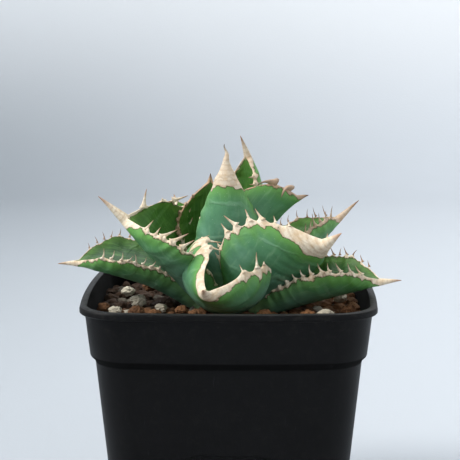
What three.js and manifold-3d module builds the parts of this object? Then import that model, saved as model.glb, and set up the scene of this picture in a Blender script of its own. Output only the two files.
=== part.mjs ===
// Potted agave: a square plastic nursery pot, a bed of grit, loose grains on top,
// a short stem and a rosette of thick channelled leaves.
// Millimetres, +Z up. The origin is the middle of the pot's underside; the pot's front faces -Y.

import * as THREE from "three";
import { mergeVertices } from "three/addons/utils/BufferGeometryUtils.js";
import Module from "manifold-3d";

const wasm = await Module();
wasm.setup();
const { Manifold, Mesh } = wasm;

// ---------- driving dimensions ----------

const potWidth = 90; // across the lip, flat side to flat side
const potHeight = 80;
const wallThickness = 1.2;
const cornerRadius = 13.5; // outer corner of the lip
const sideBow = 1.3; // how far each side bulges past its corners at the lip
const lipOverhang = 1.4;
const lipHeight = 2.4;
const collarHeight = 15; // from the lip's top down to the step
const stepHeight = 2;
const stepDepth = 1.4;
const baseInset = 10; // how much narrower each side is at the foot than at the lip
const floorThickness = 2;
const footHeight = 2.4; // height of the drain channels under the floor
const panelWidth = 27; // shallow recess low on each side
const panelHeight = 36;
const panelDepth = 1.3;
const slitWidth = 5; // drain slit at the foot of each recess
const slitHeight = 12;
const soilDrop = 6; // grit surface below the lip's top
const rosetteSpread = 106; // tip of the low left leaf to tip of the low right leaf
const stemRadius = 9;
const grainSize = 4.6; // usual breadth of a loose grain
const gap = 0.3; // left between neighbouring pieces

// ---------- values that follow from them ----------

const half = potWidth / 2 - sideBow;
const soilTop = potHeight - soilDrop;
const leafScale = rosetteSpread / 106;
const rootScale = stemRadius / 9; // leaf roots stay on the stem
const collarHalf = half - lipOverhang;
const stepZ = potHeight - collarHeight;
const bodyTopZ = stepZ - stepHeight;
const collarFootHalf = collarHalf - 1.3;
const bodyTopHalf = collarFootHalf - stepDepth;
const footHalf = half - baseInset;
const floorZ = footHeight + floorThickness;
const rad = Math.PI / 180;

// ---------- small helpers ----------

function vec(x, y, z) {
  return new THREE.Vector3(x, y, z);
}

function smooth(t) {
  const k = Math.min(Math.max(t, 0), 1);
  return k * k * (3 - 2 * k);
}

// straight-line reading of a list of [place, value] pairs
function along(pairs, t) {
  for (let i = 1; i < pairs.length; i += 1) {
    const [t0, v0] = pairs[i - 1];
    const [t1, v1] = pairs[i];
    if (t <= t1) return v0 + ((v1 - v0) * (t - t0)) / (t1 - t0);
  }
  return pairs[pairs.length - 1][1];
}

// a closed skin over a stack of rings that all have the same number of points
function loft(rings) {
  const count = rings[0].length;
  const points = rings.flat();
  const faces = [];
  for (let i = 0; i + 1 < rings.length; i += 1) {
    for (let j = 0; j < count; j += 1) {
      const a = i * count + j;
      const b = i * count + ((j + 1) % count);
      faces.push(a, b, b + count);
      faces.push(a, b + count, a + count);
    }
  }
  const last = (rings.length - 1) * count;
  const middle = (ring) => ring.reduce((sum, p) => sum.add(p), vec(0, 0, 0)).divideScalar(count);
  const low = points.push(middle(rings[0])) - 1;
  const high = points.push(middle(rings[rings.length - 1])) - 1;
  for (let j = 0; j < count; j += 1) {
    faces.push(low, (j + 1) % count, j);
    faces.push(high, last + j, last + ((j + 1) % count));
  }
  const geometry = new THREE.BufferGeometry().setFromPoints(points);
  geometry.setIndex(faces);
  return geometry;
}

function toSolid(geometry) {
  const bare = new THREE.BufferGeometry();
  bare.setAttribute("position", geometry.getAttribute("position"));
  bare.setIndex(geometry.getIndex());
  const merged = mergeVertices(bare, 1e-4);
  const vertProperties = new Float32Array(merged.getAttribute("position").array);
  const triVerts = new Uint32Array(merged.getIndex().array);
  const solid = new Manifold(new Mesh({ numProp: 3, vertProperties, triVerts }));
  if (solid.volume() >= 0) return solid;
  const turned = triVerts.slice();
  for (let i = 0; i < turned.length; i += 3) {
    [turned[i], turned[i + 1]] = [turned[i + 1], turned[i]];
  }
  return new Manifold(new Mesh({ numProp: 3, vertProperties, triVerts: turned }));
}

function toGeometry(solid) {
  const mesh = solid.getMesh();
  const geometry = new THREE.BufferGeometry();
  const position = new Float32Array(mesh.numVert * 3);
  for (let i = 0; i < mesh.numVert; i += 1) {
    position.set(mesh.vertProperties.subarray(i * mesh.numProp, i * mesh.numProp + 3), i * 3);
  }
  geometry.setAttribute("position", new THREE.BufferAttribute(position, 3));
  geometry.setIndex(new THREE.BufferAttribute(new Uint32Array(mesh.triVerts), 1));
  geometry.computeVertexNormals();
  return geometry;
}

// a cut can shave loose slivers off a piece: only its main body is kept
function mainBody(solid) {
  const bodies = toSolid(toGeometry(solid)).decompose();
  return bodies.reduce((best, body) => (body.volume() > best.volume() ? body : best));
}

const agave = new THREE.Group();
agave.name = "potted_agave";

function addNode(name, solid, colour, roughness) {
  const material = new THREE.MeshStandardMaterial({ color: colour, roughness, metalness: 0 });
  const mesh = new THREE.Mesh(toGeometry(solid), material);
  mesh.name = name;
  agave.add(mesh);
}

// room already taken: each piece is cut to leave a gap round everything placed before it
const taken = [];

function boxesMeet(a, b) {
  return [0, 1, 2].every((i) => a.min[i] <= b.max[i] && b.min[i] <= a.max[i]);
}

function fitAround(solid) {
  let piece = solid;
  for (const other of taken) {
    if (boxesMeet(piece.boundingBox(), other.boundingBox())) piece = piece.subtract(other);
  }
  return mainBody(piece);
}

// ---------- pot ----------

// a rounded square with slightly bulging sides
function squareRing(halfWidth, corner, bow, z) {
  const flat = halfWidth - corner;
  const ring = [];
  for (let side = 0; side < 4; side += 1) {
    const turn = (side * Math.PI) / 2;
    const place = (x, y) => ring.push(vec(x, y, z).applyAxisAngle(vec(0, 0, 1), turn));
    for (let i = 0; i < 6; i += 1) {
      const s = -1 + i / 3;
      place(halfWidth + bow * (1 - s * s), flat * s);
    }
    for (let i = 0; i < 6; i += 1) {
      const a = (i * Math.PI) / 12;
      place(flat + corner * Math.cos(a), flat + corner * Math.sin(a));
    }
  }
  return ring;
}

// the bulge and the corner radius both shrink towards the foot
function potRing(halfWidth, z, inset) {
  const bow = sideBow * (0.4 + (0.6 * z) / potHeight);
  const corner = cornerRadius * (0.75 + (0.25 * z) / potHeight) - inset;
  return squareRing(halfWidth - inset, corner, bow, z);
}

function potOutside(extra) {
  const rows = [
    [footHalf - 0.9, 0],
    [footHalf, 0.9],
    [bodyTopHalf, bodyTopZ],
    [collarFootHalf, stepZ],
    [collarHalf, potHeight - lipHeight],
    [half - 0.2, potHeight - lipHeight + 0.5],
    [half, potHeight - 0.8],
    [half - 0.5, potHeight],
  ];
  return toSolid(loft(rows.map(([halfWidth, z]) => potRing(halfWidth, z, -extra))));
}

function potInside(clearance, topZ) {
  const inset = wallThickness + clearance;
  const rows = [
    [footHalf + 0.2, floorZ + clearance],
    [bodyTopHalf, bodyTopZ],
    [collarFootHalf, stepZ],
    [collarHalf, potHeight - lipHeight],
    [collarHalf + 0.4, topZ],
  ];
  const hollow = toSolid(loft(rows.map(([halfWidth, z]) => potRing(halfWidth, z, inset))));
  return panelBlocks(inset).reduce((left, block) => left.subtract(block), hollow);
}

// four slanted blocks that press the shallow recesses into the sides
function panelBlocks(extra) {
  const width = panelWidth + 2 * extra;
  const shape = new THREE.Shape();
  const radius = 5 + extra;
  shape.moveTo(-width / 2, -4);
  shape.lineTo(width / 2, -4);
  shape.lineTo(width / 2, panelHeight + extra - radius);
  shape.absarc(width / 2 - radius, panelHeight + extra - radius, radius, 0, Math.PI / 2, false);
  shape.absarc(radius - width / 2, panelHeight + extra - radius, radius, Math.PI / 2, Math.PI, false);
  const depth = 12;
  const block = new THREE.ExtrudeGeometry(shape, { depth, bevelEnabled: false, curveSegments: 4 });
  block.rotateX(Math.PI / 2);
  const slant = Math.atan((bodyTopHalf - footHalf) / bodyTopZ);
  block.rotateX(slant);
  const footY = -footHalf - sideBow * 0.4 + panelDepth + extra;
  block.translate(0, footY, 0);
  return quarterTurns(toSolid(block));
}

function quarterTurns(solid) {
  return [0, 1, 2, 3].map((i) => solid.rotate([0, 0, 90 * i]));
}

function box(width, depth, height, x, y, z) {
  const geometry = new THREE.BoxGeometry(width, depth, height);
  geometry.translate(x, y, z);
  return toSolid(geometry);
}

// drain channels from the middle of each side to a slot near the middle of the floor
function drainCuts() {
  const reach = footHalf + 4;
  const channel = box(slitWidth + 5, reach - 12, footHeight * 2, 0, -(reach + 12) / 2, 0);
  const slit = box(slitWidth, 6, slitHeight * 2, 0, -footHalf, 0);
  const slot = box(slitWidth, 9, 20, 0, -18, 0);
  return [channel, slit, slot].flatMap(quarterTurns);
}

function makePot() {
  let pot = potOutside(0);
  for (const block of panelBlocks(0)) pot = pot.subtract(block);
  pot = pot.subtract(potInside(0, potHeight + 1));
  for (const cut of drainCuts()) pot = pot.subtract(cut);
  addNode("pot", mainBody(pot), 0x1b1c1f, 0.5);
  taken.push(potOutside(gap).subtract(potInside(gap, potHeight + 1)));
}

// ---------- stem ----------

function stemSolid(extra) {
  const profile = [
    [0, -19],
    [0.6, -18.5],
    [0.8, -12],
    [1, 0],
    [0.95, 4],
    [0.72, 8],
    [0.4, 10.4],
    [0, 11],
  ];
  const points = profile.map(([share, z]) => {
    const radius = share === 0 ? 0 : share * stemRadius * leafScale + extra;
    const lift = z > 4 ? extra : 0;
    const drop = z < -12 ? extra : 0;
    return new THREE.Vector2(radius, z * leafScale + lift - drop);
  });
  const geometry = new THREE.LatheGeometry(points, 20);
  geometry.rotateX(Math.PI / 2);
  geometry.translate(0, 0, soilTop);
  return toSolid(geometry);
}

function makeStem() {
  addNode("stem", stemSolid(0), 0x8f9a6a, 0.7);
  taken.push(stemSolid(gap));
}

// ---------- leaves ----------

// Inner leaves first. Lengths in mm for a rosette 106 mm across, angles in degrees:
// azimuth from +X, startRadius and startLift from the stem's axis and the grit surface, blade and
// spine lengths, rise at the base and at the tip, how soon the rise changes, width and thickness,
// half angle of the channel, roll of the blade, sideways sweep, where it is widest, shift in x,
// how much the left and right halves are flattened (open) and widened (reach)
const leafTable = [
  { name: "leaf_heart", azimuth: 100, startRadius: 0, startLift: 11, blade: 18, spine: 6, rise: [88, 90],
    width: 12, thick: 4, channel: 60 },
  { name: "leaf_centre", azimuth: 266, startRadius: 5, startLift: 6, blade: 42, spine: 5, rise: [60, 94],
    bend: 0.7, width: 24, thick: 5, channel: 78, widest: 0.335, taper: 1, open: [0.8, 1] },
  { name: "leaf_inner_right", azimuth: 352, startRadius: 4.5, startLift: 11, blade: 31, spine: 3.5,
    rise: [92, 8], width: 27, thick: 4.5, channel: 60, roll: -28 },
  { name: "leaf_inner_left", azimuth: 102, startRadius: 6, startLift: 7, blade: 31, spine: 3, rise: [74, 98],
    width: 26, thick: 4.5, channel: 55, shift: -4.5 },
  { name: "leaf_back", azimuth: 42, startRadius: 6.5, startLift: 8, blade: 39, spine: 7.5, rise: [64, 116],
    width: 23, thick: 4.5, channel: 60, widest: 0.5, shift: -1.6 },
  { name: "leaf_front", azimuth: 262, startRadius: 6, startLift: 3, blade: 30, spine: 4.5, rise: [8, 22],
    width: 38, thick: 6, channel: 105, roll: -16, sweep: -8, widest: 0.5, open: [1, 0.86],
    reach: [1.04, 1.36] },
  { name: "leaf_right_front", azimuth: 318, startRadius: 6, startLift: 3, blade: 37, spine: 6.5,
    rise: [36, 30], width: 36, thick: 6, channel: 62, roll: -24, sweep: 10, widest: 0.48, reach: [1, 1.22] },
  { name: "leaf_left", azimuth: 204, startRadius: 7, startLift: 2, blade: 38, spine: 11, rise: [50, 38],
    width: 36, thick: 5.5, channel: 72, roll: -31, sweep: -12, widest: 0.62 },
  { name: "leaf_left_back", azimuth: 142, startRadius: 9, startLift: 5, blade: 30, spine: 3, rise: [54, 62],
    width: 22, thick: 4.5, channel: 50, shift: 2.4 },
  { name: "leaf_right_back", azimuth: 22, startRadius: 6, startLift: 4, blade: 38, spine: 10, rise: [34, 34],
    width: 26, thick: 5, channel: 64, roll: -5, sweep: 4 },
  { name: "leaf_low_left", azimuth: 186, startRadius: 8, startLift: 1, blade: 42.5, spine: 6.5,
    rise: [45, -6], bend: 0.75, width: 27, thick: 6, channel: 54, roll: -7, sweep: 4, widest: 0.64 },
  { name: "leaf_low_right", azimuth: 343, startRadius: 8, startLift: 0, blade: 41, spine: 7, rise: [26, 2],
    bend: 0.8, width: 28, thick: 6, channel: 58, roll: 4, sweep: 4, widest: 0.62 },
  { name: "leaf_low_back_right", azimuth: 55, startRadius: 8, startLift: 1, blade: 40, spine: 8,
    rise: [25, 20], width: 25, thick: 6, channel: 48 },
  { name: "leaf_low_back_left", azimuth: 112, startRadius: 8, startLift: 1, blade: 40, spine: 8,
    rise: [30, 20], width: 25, thick: 6, channel: 48 },
];

const leafDefaults = {
  bend: 1, roll: 0, sweep: 0, widest: 0.6, taper: 0.9, shift: 0, open: [1, 1], reach: [1, 1],
};
const leafStations = 14;
const leafColumns = 6; // faces across the upper side
const edgeThickness = 0.8;
const baseShare = 0.55; // breadth at the base as a share of the widest breadth
const spineRadius = 1.5;
const spineTipRadius = 0.15;

// half breadth and thickness at a distance s from the base
function leafSection(leaf, s) {
  const t = Math.min(s / leaf.blade, 1);
  const beyond = Math.max((s - leaf.blade) / leaf.spine, 0);
  if (beyond > 0) {
    const radius = spineTipRadius + (spineRadius - spineTipRadius) * (1 - beyond) ** 0.9;
    return { halfBreadth: radius, thickness: radius * 2, beyond };
  }
  const widest = leaf.width / 2;
  const growing = baseShare + (1 - baseShare) * smooth(t / leaf.widest);
  const late = Math.max((t - leaf.widest) / (1 - leaf.widest), 0);
  const fading = Math.max(Math.cos((Math.PI / 2) * late), 0) ** leaf.taper;
  const halfBreadth = t < leaf.widest ? widest * growing : spineRadius + (widest - spineRadius) * fading;
  const flesh = leaf.thick * along([[0, 1], [0.25, 1], [0.6, 0.8], [0.85, 0.55], [1, 0.5]], t);
  const thickness = flesh + (2 * spineRadius - flesh) * smooth((t - 0.85) / 0.15);
  return { halfBreadth, thickness, beyond: 0 };
}

// the leaf's middle line with its sideways and upward directions, base to tip
function leafSpine(leaf) {
  const total = leaf.blade + leaf.spine;
  const start = leaf.azimuth * rad;
  const root = leaf.startRadius * rootScale;
  const place = vec(root * Math.cos(start), root * Math.sin(start), leaf.startLift);
  place.x += leaf.shift;
  const stations = [];
  let before = null;
  for (let i = 0; i < leafStations; i += 1) {
    const s = (total * i) / (leafStations - 1);
    const k = s / total;
    const heading = (leaf.azimuth + leaf.sweep * k ** 1.5) * rad;
    const rise = (leaf.rise[0] + (leaf.rise[1] - leaf.rise[0]) * k ** leaf.bend) * rad;
    const forward = vec(
      Math.cos(rise) * Math.cos(heading),
      Math.cos(rise) * Math.sin(heading),
      Math.sin(rise),
    );
    const step = total / (leafStations - 1) / 2;
    if (before) place.addScaledVector(before, step).addScaledVector(forward, step);
    const side = vec(-Math.sin(heading), Math.cos(heading), 0);
    side.applyAxisAngle(forward, leaf.roll * Math.min(k * 1.6, 1) * rad);
    const up = forward.clone().cross(side);
    stations.push({ s, place: place.clone(), forward, side, up });
    before = forward;
  }
  return stations;
}

// one closed section: the channelled upper side, then the swollen underside back again
function leafRing(leaf, station, extra) {
  const { halfBreadth, thickness, beyond } = leafSection(leaf, station.s);
  const t = Math.min(station.s / leaf.blade, 1);
  const opening = leaf.channel * along([[0, 0.6], [0.25, 0.75], [0.55, 0.9], [0.8, 1], [1, 0.9]], t);
  const angle = opening * rad * (1 - 0.8 * beyond);
  const edge = Math.min(edgeThickness, halfBreadth);
  const plump = (u) => (1 - Math.abs(u) ** 2.2) ** 0.8 * (thickness - edge);
  const point = (u, offset) => {
    const half = u > 0 ? 0 : 1;
    const wider = 1 + (leaf.reach[half] - 1) * smooth(t / 0.35) * smooth((1 - t) / 0.12);
    const flatter = 1 + (leaf.open[half] - 1) * smooth((1 - t) / 0.2);
    const radius = ((halfBreadth / angle) * wider) / flatter;
    const a = (u * (halfBreadth * wider + extra)) / radius;
    const across = (radius - offset) * Math.sin(a);
    const above = radius - (radius - offset) * Math.cos(a);
    return station.place
      .clone()
      .addScaledVector(station.side, across)
      .addScaledVector(station.up, above);
  };
  const ring = [];
  for (let i = 0; i <= leafColumns; i += 1) {
    const u = -1 + (2 * i) / leafColumns;
    ring.push(point(u, 0.12 * plump(u) + edge / 2 + extra));
  }
  for (let i = leafColumns; i >= 0; i -= 1) {
    const u = -1 + (2 * i) / leafColumns;
    ring.push(point(u, -0.88 * plump(u) - edge / 2 - extra));
  }
  return ring;
}

function leafSolid(leaf, extra) {
  const stations = leafSpine(leaf);
  const tip = stations[stations.length - 1];
  stations[0].place.addScaledVector(stations[0].forward, -extra);
  tip.place.addScaledVector(tip.forward, extra);
  const rings = stations.map((station) => leafRing(leaf, station, extra));
  const geometry = loft(rings);
  geometry.scale(leafScale, leafScale, leafScale);
  geometry.translate(0, 0, soilTop);
  return toSolid(geometry);
}

function makeLeaves() {
  for (const row of leafTable) {
    const leaf = { ...leafDefaults, ...row };
    addNode(leaf.name, fitAround(leafSolid(leaf, 0)), 0x5f8a66, 0.55);
    taken.push(leafSolid(leaf, gap * 1.4));
  }
}

// ---------- grit ----------

// gentle unevenness of the grit surface
function soilBump(x, y) {
  return 0.35 * Math.sin(x * 0.9 + 1.3 * Math.sin(y * 0.35)) * Math.cos(y * 0.8 + Math.sin(x * 0.4));
}

// Loose grains that stand clear of the bed: kind, place across the bed as a share of
// half the pot's width, size against the usual grain
const grainTable = [
  ["pumice", -0.77, -0.37, 0.9],
  ["pumice", -0.64, -0.07, 1.2],
  ["pumice", -0.47, -0.27, 0.85],
  ["pumice", 0.64, -0.56, 1.35],
  ["clay", -0.86, -0.27, 0.95],
  ["clay", -0.62, -0.4, 1.15],
  ["clay", -0.5, -0.46, 0.95],
  ["clay", -0.32, -0.37, 1.05],
  ["clay", -0.22, -0.47, 1],
  ["clay", -0.02, -0.72, 0.85],
  ["clay", 0.23, -0.54, 1.15],
  ["clay", 0.4, -0.6, 0.8],
  ["clay", 0.52, -0.5, 1],
  ["clay", 0.8, -0.33, 1.1],
  ["pumice", 0.78, 0.1, 1],
  ["clay", 0.7, 0.34, 1.1],
  ["pumice", -0.74, 0.3, 1.05],
  ["clay", -0.6, 0.52, 1.1],
  ["clay", -0.1, 0.8, 1],
  ["pumice", 0.14, 0.76, 0.9],
  ["clay", 0.72, 0.7, 1],
];

// a lumpy grain: each corner of a rounded block is pushed in or out a little
function grainSolid(x, y, size, turn, extra) {
  const geometry = new THREE.IcosahedronGeometry(size / 2, 1);
  const position = geometry.getAttribute("position");
  for (let i = 0; i < position.count; i += 1) {
    const p = vec().fromBufferAttribute(position, i);
    const lump = 1 + 0.12 * Math.sin(p.x * 1.9 + turn) * Math.cos(p.y * 2.3 - turn);
    p.multiplyScalar(lump * (1 + (2 * extra) / size));
    p.z *= 0.75;
    position.setXYZ(i, p.x, p.y, p.z);
  }
  geometry.rotateZ(turn);
  geometry.translate(x, y, soilTop + size * 0.24);
  return toSolid(geometry);
}

function makeGrains() {
  const counts = { pumice: 0, clay: 0 };
  const colours = { pumice: 0xd9cdb4, clay: 0x9a5a35 };
  const reach = potWidth / 2;
  grainTable.forEach(([kind, shareX, shareY, share], i) => {
    counts[kind] += 1;
    const name = `${kind}_grain_${String(counts[kind]).padStart(2, "0")}`;
    const size = grainSize * share;
    const solid = grainSolid(shareX * reach, shareY * reach, size, i * 1.7, 0);
    addNode(name, fitAround(solid), colours[kind], 0.95);
    taken.push(grainSolid(shareX * reach, shareY * reach, size, i * 1.7, gap));
  });
}

// the bed fills the pot up to its uneven surface
function makeSoil() {
  const steps = 7;
  const outline = squareRing(half, cornerRadius, 0, 0);
  const rings = [outline.map((p) => vec(p.x, p.y, 1))];
  for (let i = 0; i < steps; i += 1) {
    const share = 1 - i / steps;
    const ring = outline.map((p) => {
      const x = p.x * share;
      const y = p.y * share;
      return vec(x, y, soilTop + soilBump(x, y));
    });
    rings.push(ring);
  }
  const below = toSolid(loft(rings));
  const bed = potInside(gap, potHeight + 1).intersect(below);
  addNode("grit_bed", fitAround(bed), 0x7d4a2e, 0.95);
}

makePot();
makeStem();
makeLeaves();
makeGrains();
makeSoil();

export default agave;
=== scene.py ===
import math
import random

import bpy
import numpy as np
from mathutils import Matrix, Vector, noise


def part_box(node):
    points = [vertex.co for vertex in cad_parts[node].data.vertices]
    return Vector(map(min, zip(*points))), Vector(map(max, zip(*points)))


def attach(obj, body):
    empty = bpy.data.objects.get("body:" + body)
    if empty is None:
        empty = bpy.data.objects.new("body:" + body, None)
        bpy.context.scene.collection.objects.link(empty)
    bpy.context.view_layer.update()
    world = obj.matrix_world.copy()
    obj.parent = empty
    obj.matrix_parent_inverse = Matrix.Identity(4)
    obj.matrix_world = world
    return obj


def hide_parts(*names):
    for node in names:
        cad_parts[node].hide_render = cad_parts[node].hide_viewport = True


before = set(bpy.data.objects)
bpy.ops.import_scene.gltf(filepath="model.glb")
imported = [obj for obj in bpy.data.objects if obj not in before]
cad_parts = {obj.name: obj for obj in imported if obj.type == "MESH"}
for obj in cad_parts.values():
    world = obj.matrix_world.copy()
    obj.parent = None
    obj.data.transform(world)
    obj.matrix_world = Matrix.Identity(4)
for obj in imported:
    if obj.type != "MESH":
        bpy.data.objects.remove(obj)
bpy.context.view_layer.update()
print("frame loaded")

mm = 0.001
rad = math.pi / 180


def clearSelection():
    bpy.ops.object.select_all(action="DESELECT")


def pickOnly(piece):
    clearSelection()
    piece.select_set(True)
    bpy.context.view_layer.objects.active = piece


def soften(t):  # smooth step from 0 to 1
    k = np.clip(t, 0, 1)
    return k * k * (3 - 2 * k)


def along(places, values, t):
    return np.interp(t, places, values)


def bell(distance, width):
    return np.exp(-((distance / width) ** 2))


def readPlaces(mesh):
    flat = np.empty(len(mesh.vertices) * 3)
    mesh.vertices.foreach_get("co", flat)
    return flat.reshape(-1, 3)


def setPlaces(mesh, places):
    mesh.vertices.foreach_set("co", np.ascontiguousarray(places, dtype=np.float32).ravel())
    mesh.update()


def setValues(mesh, name, values):  # one number for each corner point, kept as an attribute
    layer = mesh.attributes.get(name) or mesh.attributes.new(name, "FLOAT", "POINT")
    spread = np.broadcast_to(values, len(mesh.vertices))
    layer.data.foreach_set("value", np.ascontiguousarray(spread, dtype=np.float32))


def editAll(piece):  # opens edit mode with the whole mesh selected
    pickOnly(piece)
    bpy.ops.object.mode_set(mode="EDIT")
    bpy.ops.mesh.select_all(action="SELECT")


def closeSkin(piece):  # merges the seam and the poles, then turns every face outwards
    editAll(piece)
    bpy.ops.mesh.remove_doubles(threshold=0.0004 * mm)
    bpy.ops.mesh.normals_make_consistent(inside=False)
    bpy.ops.object.mode_set(mode="OBJECT")
    bpy.ops.object.shade_smooth()


def gridPiece(name, rows, values=None):
    # a flat grid whose corner points are moved to rows of places (in mm)
    count, columns = rows.shape[:2]
    clearSelection()
    bpy.ops.mesh.primitive_grid_add(x_subdivisions=columns - 1, y_subdivisions=count - 1, size=1)
    piece = bpy.context.active_object
    piece.name = name
    piece.data.name = name
    setPlaces(piece.data, rows.reshape(-1, 3) * mm)
    for key, value in (values or {}).items():
        setValues(piece.data, key, np.broadcast_to(value, (count, columns)).ravel())
    return piece


def wrapSkin(name, rows, values=None):
    # the same grid, wrapped round into a closed skin
    piece = gridPiece(name, rows, values)
    closeSkin(piece)
    return piece


def endRings(rows):
    # the first and the last ring drawn together to their middles, to close the two ends
    ends = [ring.mean(axis=1, keepdims=True) for ring in (rows[:1], rows[-1:])]
    return [np.repeat(end, rows.shape[1], axis=1) for end in ends]


def turnedRows(profile, sides):
    # a ring for each reach and height of the profile
    a = np.linspace(0, 2 * math.pi, sides + 1)
    rows = [(reach * np.cos(a), reach * np.sin(a), 0 * a + height) for reach, height in profile]
    return np.stack(rows).transpose(0, 2, 1)


def joinPieces(main, others):
    pickOnly(main)
    for other in others:
        other.select_set(True)
    bpy.ops.object.join()
    return bpy.context.active_object


def dress(piece, material):
    piece.data.materials.clear()
    piece.data.materials.append(material)


def screen(red, green, blue):  # a colour from its screen values, 0 to 255
    levels = [c / 255 for c in (red, green, blue)]
    return tuple(c / 12.92 if c < 0.04045 else ((c + 0.055) / 1.055) ** 2.4 for c in levels) + (1,)


def shades(colours):  # the same for a list of colours
    return [screen(*colour) for colour in colours]


class Wire:
    # one socket, so that shader maths reads as plain sums
    def __init__(self, look, socket):
        self.look = look
        self.socket = socket

    def maths(self, operation, *values):
        return self.look.node("ShaderNodeMath", {"operation": operation}, dict(enumerate(values)))

    def __add__(self, other):
        return self.maths("ADD", self, other)

    __radd__ = __add__

    def __sub__(self, other):
        return self.maths("SUBTRACT", self, other)

    def __rsub__(self, other):
        return self.maths("SUBTRACT", other, self)

    def __mul__(self, other):
        return self.maths("MULTIPLY", self, other)

    __rmul__ = __mul__

    def __pow__(self, other):
        return self.maths("POWER", self, other)

    def least(self, other):
        return self.maths("MINIMUM", self, other)

    def most(self, other):
        return self.maths("MAXIMUM", self, other)

    def sine(self):
        return self.maths("SINE", self)

    def size(self):
        return self.maths("ABSOLUTE", self)

    def ramp(self, start, end):  # smooth 0 to 1 as the value goes from start to end
        settings = {"interpolation_type": "SMOOTHSTEP"}
        sockets = {"Value": self, "From Min": start, "From Max": end}
        return self.look.node("ShaderNodeMapRange", settings, sockets)


class Look:
    # a material and its nodes
    def __init__(self, name):
        self.material = bpy.data.materials.new(name)
        self.material.use_nodes = True
        self.tree = self.material.node_tree
        self.shader = self.tree.nodes["Principled BSDF"]

    def node(self, kind, settings=None, sockets=None, out=0):
        made = self.tree.nodes.new(kind)
        for key, value in (settings or {}).items():
            setattr(made, key, value)
        for key, value in (sockets or {}).items():
            self.feed(made.inputs[key], value)
        return Wire(self, made.outputs[out])

    def feed(self, socket, value):
        if isinstance(value, Wire):
            self.tree.links.new(value.socket, socket)
        else:
            socket.default_value = value

    def set(self, **sockets):
        for key, value in sockets.items():
            self.feed(self.shader.inputs[key.replace("_", " ")], value)

    def attribute(self, name):
        return self.node("ShaderNodeAttribute", {"attribute_name": name}, out="Fac")

    def place(self, scale=1000):  # the piece's own coordinates, in millimetres
        own = self.node("ShaderNodeTexCoord", out="Object")
        return self.node("ShaderNodeVectorMath", {"operation": "SCALE"}, {0: own, "Scale": scale})

    def vector(self, x, y, z):
        return self.node("ShaderNodeCombineXYZ", None, {0: x, 1: y, 2: z})

    def noise(self, vector, scale, detail=3, roughness=0.55, distortion=0):
        sockets = {"Vector": vector, "Scale": scale, "Detail": detail}
        sockets.update({"Roughness": roughness, "Distortion": distortion})
        return self.node("ShaderNodeTexNoise", None, sockets)

    def cells(self, vector, scale):
        return self.node("ShaderNodeTexVoronoi", None, {"Vector": vector, "Scale": scale})

    def height(self, vector):
        return self.node("ShaderNodeSeparateXYZ", None, {0: vector}, out="Z")

    def stretch(self, vector, amounts):
        return self.node("ShaderNodeVectorMath", {"operation": "MULTIPLY"}, {0: vector, 1: amounts})

    def mix(self, share, first, second):
        made = self.tree.nodes.new("ShaderNodeMix")
        made.data_type = "RGBA"
        for socket, value in zip((made.inputs[0], made.inputs[6], made.inputs[7]), (share, first, second)):
            self.feed(socket, value)
        return Wire(self, made.outputs[2])

    def bump(self, height, distance, strength=1):
        sockets = {"Height": height, "Distance": distance, "Strength": strength}
        return self.node("ShaderNodeBump", None, sockets)


# camera at the front, a little above the leaves
cameraPlan = {
    "lens": 99.5,
    "distance": 400,
    "target": (0.07, 0, 97.6),
    "elevation": 8.46,
    "turn": 0.73,
    "nearest": 20,
    "farthest": 20000,
}


def placeCamera(plan):
    turn = plan["turn"] * rad
    lift = plan["elevation"] * rad
    back = Vector((math.sin(turn) * math.cos(lift), -math.cos(turn) * math.cos(lift), math.sin(lift)))
    data = bpy.data.cameras.new("viewpoint")
    data.lens = plan["lens"]
    data.clip_start = plan["nearest"] * mm
    data.clip_end = plan["farthest"] * mm
    camera = bpy.data.objects.new("viewpoint", data)
    bpy.context.collection.objects.link(camera)
    camera.location = (Vector(plan["target"]) + back * plan["distance"]) * mm
    camera.rotation_mode = "QUATERNION"
    camera.rotation_quaternion = (-back).to_track_quat("-Z", "Y")
    bpy.context.scene.camera = camera


placeCamera(cameraPlan)

# pale studio: a wide floor whose edge curls up all round, a main soft light, a top one and a weak fill
studio = {
    "floorReach": 1100,  # mm
    "flatShare": 0.8,  # of the reach, before the floor curls up
    "floorDrop": 0.02,
    "sides": 96,
    "aim": (0, 0, 0.09),
    "lowPaper": [(134, 140, 146), (196, 201, 207)],  # left, right; the left one darker as painted shade
    "highPaper": [(240, 243, 246), (255, 255, 255)],
    "sky": (0.9, 0.95, 1.0),
    "skyStrength": 0.6,
    "lights": [
        # name, place in metres, size in metres, watts, colour
        ("mainSoftbox", (-0.75, -0.25, 0.85), 0.5, 13, (1.0, 0.985, 0.96)),
        ("topSoftbox", (0.15, 0.45, 1.0), 0.6, 5, (0.97, 0.99, 1.0)),
        ("fillSoftbox", (0.9, -0.8, 0.5), 0.9, 1.2, (0.94, 0.97, 1.0)),
    ],
}


def floorLook(plan):
    look = Look("studioPaper")
    grain = look.noise(look.place(), 0.6, 3)
    spot = look.place(1)
    # painted light and shade: the paper is painted darker on the left and low down, lighter on the right
    # and high up
    left = look.node("ShaderNodeSeparateXYZ", None, {0: spot}, out="X").ramp(-0.45, 0.4)
    high = look.height(spot).ramp(0, 0.36)
    low, upper = (look.mix(left, *shades(plan[key])) for key in ("lowPaper", "highPaper"))
    paper = look.mix(high, low, upper)
    look.set(Base_Color=paper, Roughness=0.9, Normal=look.bump(grain, 0.00008))
    return look.material


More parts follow.
